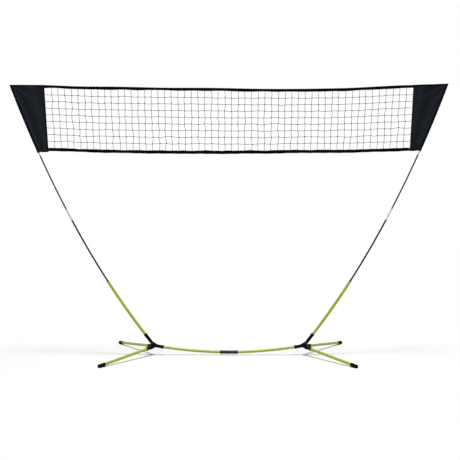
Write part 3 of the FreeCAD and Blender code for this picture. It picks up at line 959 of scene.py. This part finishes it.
def panel_band(outline, surface):
    """The rolled edge beside the sleeve."""
    start = bottom_binding / 2
    end = outline.top_distance(side_band_inset) - top_binding / 2
    wander = waves(band_seed[outline.name], count=5, shortest=0.03, longest=0.25, height=side_band_wander)
    rings = []
    for step in range(panel_rows + 1):
        distance = between(start, end, step / panel_rows)
        ring = []
        for corner in range(side_band_corners):
            turn = 2 * math.pi * corner / side_band_corners
            inset = side_band_inset + wander(distance) + side_band / 2 * math.cos(turn)
            point = pole.point(distance, inset)
            point.y = surface(point.x, point.z) + side_band_rise * math.sin(turn)
            ring.append(point)
        rings.append(ring)
    shape = Shape()
    shape.loft(rings)
    return shape


def end_panel(outline):
    """One end panel with its bindings, side band and stitching."""
    folds = panel_folds(outline)

    def surface(x, z):
        return drift(outline.side * x, z) + folds(x, z)

    piece = panel_sheet(outline, surface)
    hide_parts(outline.name + "_end_panel")
    cloth, thread = panel_bindings(outline, surface)
    binding = outline.piece(cloth, "panel_binding", "tape_fabric")
    # The rolled edge wears the lighter band cloth, a painted highlight.
    band = outline.piece(panel_band(outline, surface), "panel_band", "panel_fabric", "band_fabric_painted_highlight")
    stitching = outline.piece(thread, "panel_stitching", "tape_fabric", "sewing_thread")


# Pole sleeves

def sleeve_side(radius, flat_out):
    """(inset, out) along one face of the sleeve's cloth, from its front flap round to its back flap."""
    touch = math.acos(sleeve_radius / sleeve_seam_reach)
    tangent_inset = radius * math.cos(touch)
    tangent_out = radius * math.sin(touch)
    front = [(sleeve_seam_reach + sleeve_flap * share, flat_out) for share in (1.0, 0.5, 0.0)]
    for share in (0.33, 0.67):
        inset = between(sleeve_seam_reach, tangent_inset, share)
        front.append((inset, between(flat_out, tangent_out, share)))
    arc = []
    for step in range(sleeve_arc_steps + 1):
        turn = between(touch, 2 * math.pi - touch, step / sleeve_arc_steps)
        arc.append((radius * math.cos(turn), radius * math.sin(turn)))
    back = [(inset, -out) for inset, out in reversed(front)]
    return front + arc + back


def sleeve_section(openness, swell):
    """(inset, out) round the sleeve's cloth: its outside, then its inside."""
    outside = []
    inside = []
    outer_side = sleeve_side(sleeve_radius + swell, sleeve_seam_out + sleeve_cloth)
    inner_side = sleeve_side(sleeve_radius - sleeve_cloth, sleeve_seam_out)
    for (outer_inset, outer_out), (inner_inset, inner_out) in zip(outer_side, inner_side):
        inside.append((inner_inset, inner_out * openness))
        outside.append((outer_inset, inner_out * openness + outer_out - inner_out))
    return outside + inside[::-1]


def sleeve_stations(tip):
    """(distance, openness) of each ring of the sleeve. Its closed end rounds off up to the tip."""
    straight = tip - sleeve_tip_length
    stations = [(straight * step / sleeve_steps, 1.0) for step in range(sleeve_steps)]
    for step in range(sleeve_tip_steps + 1):
        turn = math.radians(between(90, sleeve_tip_turn, step / sleeve_tip_steps))
        stations.append((tip - sleeve_tip_length * (1 - math.cos(turn)), math.sin(turn)))
    return stations


def sleeve_tunnel(outline, tip):
    """The tunnel of cloth that slips over the pole. Its closed end is in line with the panel's top edge."""
    creases = waves(crease_seed[outline.name], count=7, shortest=0.008, longest=0.045, height=crease_height)
    rings = []
    for distance, openness in sleeve_stations(tip):
        hem = mouth_hem_rise * (1 - eased((distance - mouth_hem) / mouth_hem_slope))
        shear = outline.slope * eased(1 - (tip - distance) / sleeve_shear_length)
        ring = []
        for inset, out in sleeve_section(openness, hem):
            around = math.atan2(out, inset) * sleeve_radius
            scale = 1 + creases(distance, around) * openness / math.hypot(inset, out)
            point = pole.point(distance - shear * inset * scale, inset * scale)
            point.y = -out * scale
            ring.append(point)
        rings.append(ring)
    shape = Shape()
    shape.loft(rings)
    return shape


def pole_sleeve(outline):
    """One sleeve, with the stitching of its seam."""
    tip = outline.top_distance(0)
    tunnel = sleeve_tunnel(outline, tip)
    # its cloth is painted black outside the pole's line, a painted shade
    piece = outline.piece(tunnel, "sleeve_cloth", "tape_fabric", "sleeve_fabric_painted_shade")
    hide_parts(outline.name + "_pole_sleeve")
    inset = sleeve_seam_reach + sleeve_flap / 2

    def place(distance, out):
        point = pole.point(distance, inset)
        point.y = out
        return point

    thread = Shape()
    add_stitches(thread, outline.top_distance(inset), sleeve_seam_out + sleeve_cloth, place)
    stitching = outline.piece(thread, "sleeve_stitching", "tape_fabric", "sewing_thread")
    cut = 2 * (math.pi - math.acos(sleeve_radius / sleeve_seam_reach)) * sleeve_radius
    cut += 2 * math.sqrt(sleeve_seam_reach ** 2 - sleeve_radius ** 2) + 2 * sleeve_flap


# The whole net

cords = net_cords()
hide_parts("net_mesh")
top_tape, top_stitching, top_flat = tape("top_tape_cloth", "top_tape", tape_top, -1, top_tape_seed)
bottom_tape, bottom_stitching, bottom_flat = tape(
    "bottom_tape_cloth", "bottom_tape", tape_bottom, 1, bottom_tape_seed)
for side in (1, -1):
    outline = Outline(side)
    end_panel(outline)
    pole_sleeve(outline)


# Floor, light and camera

def seen_white(nodes):
    """1 for a ray from the camera, a reflection or a transparent surface, else 0."""
    path = nodes.add("LightPath").outputs
    seen = path["Is Camera Ray"]
    for name in ("Is Glossy Ray", "Is Transmission Ray"):
        seen = nodes.add("Math", {0: seen, 1: path[name]}, operation="MAXIMUM").outputs[0]
    return seen


def studio_world():
    """Even light from all round, which the camera sees as white."""
    world = bpy.data.worlds.new("studio")
    bpy.context.scene.world = world
    world.use_nodes = True
    nodes = Nodes(world.node_tree)
    lit = nodes.tree.nodes["Background"]
    nodes.set(lit, "Color", WHITE)
    nodes.set(lit, "Strength", world_light)
    white = nodes.add("Background", {"Color": WHITE, "Strength": 1})
    shown = nodes.add("MixShader", {0: seen_white(nodes), 1: lit.outputs[0], 2: white.outputs[0]})
    nodes.set(nodes.tree.nodes["World Output"], "Surface", shown.outputs[0])


def floor_material():
    """Pale, and paler behind the net, where painted light hides the net's soft shadow. It fades to the
    background's white away from the middle.
    """
    material = bpy.data.materials.new("floor")
    material.use_nodes = True
    nodes = Nodes(material.node_tree)
    nodes.tree.nodes.remove(nodes.tree.nodes["Principled BSDF"])
    place = nodes.add("TexCoord").outputs["Object"]
    back = nodes.add("SeparateXYZ", {0: place}).outputs["Y"]
    # painted light: the grey rises behind the net to hide its soft shadow
    floor_tone_painted_light = nodes.add("MapRange", {
        "Value": back, "From Min": 0.0, "From Max": floor_change,
        "To Min": floor_front, "To Max": floor_back_painted_light}, interpolation_type="SMOOTHSTEP")
    away = nodes.add("VectorMath", {0: place}, operation="LENGTH").outputs["Value"]
    fade = nodes.add("MapRange", {"Value": away, "From Min": fade_start, "From Max": fade_end},
                     interpolation_type="SMOOTHSTEP")
    plain = nodes.add("BsdfDiffuse", {"Color": floor_tone_painted_light.outputs["Result"]})
    white = nodes.add("Emission", {"Strength": 1})
    seen = nodes.add("MixShader", {0: fade.outputs["Result"], 1: plain.outputs[0], 2: white.outputs[0]})
    unseen = nodes.add("BsdfDiffuse", {"Color": (floor_bounce, floor_bounce, floor_bounce, 1)})
    floor = nodes.add("MixShader", {0: seen_white(nodes), 1: unseen.outputs[0], 2: seen.outputs[0]})
    nodes.set(nodes.tree.nodes["Material Output"], "Surface", floor.outputs[0])
    return material


def studio_floor():
    """The floor, at the height of the feet's soles."""
    half = floor_size / 2
    corners = [(-half, -half, 0), (half, -half, 0), (half, half, 0), (-half, half, 0)]
    mesh = bpy.data.meshes.new("floor")
    mesh.from_pydata(corners, [], [(0, 1, 2, 3)])
    mesh.materials.append(floor_material())
    floor = bpy.data.objects.new("floor", mesh)
    bpy.context.scene.collection.objects.link(floor)


def softbox(name, place, target, size, power):
    """A large square lamp that faces its target."""
    light = bpy.data.lights.new(name, "AREA")
    light.shape = "SQUARE"
    light.size = size
    light.energy = power
    lamp = bpy.data.objects.new(name, light)
    lamp.location = place
    lamp.rotation_euler = (Vector(target) - Vector(place)).to_track_quat("-Z", "Y").to_euler()
    bpy.context.scene.collection.objects.link(lamp)


def photo_camera():
    """The camera. It looks straight to the back, but for a small turn, tilt and roll."""
    lens = bpy.data.cameras.new("camera")
    lens.lens = camera_lens
    lens.sensor_width = camera_sensor
    camera = bpy.data.objects.new("camera", lens)
    upright = Matrix.Rotation(camera_turn, 4, "Z") @ Matrix.Rotation(math.pi / 2 + camera_tilt, 4, "X")
    camera.matrix_world = Matrix.Translation(camera_place) @ upright @ Matrix.Rotation(-camera_roll, 4, "Z")
    bpy.context.scene.collection.objects.link(camera)
    return camera


studio_world()
studio_floor()
softbox("overhead", place=(0.5, -0.7, 6.0), target=(0, 0, 0.4), size=1.4, power=265)
softbox("front_fill", place=(-1.8, -5.2, 3.0), target=(0, 0, 0.8), size=1.6, power=50)
bpy.context.scene.camera = photo_camera()
bpy.context.scene.view_settings.view_transform = "Standard"
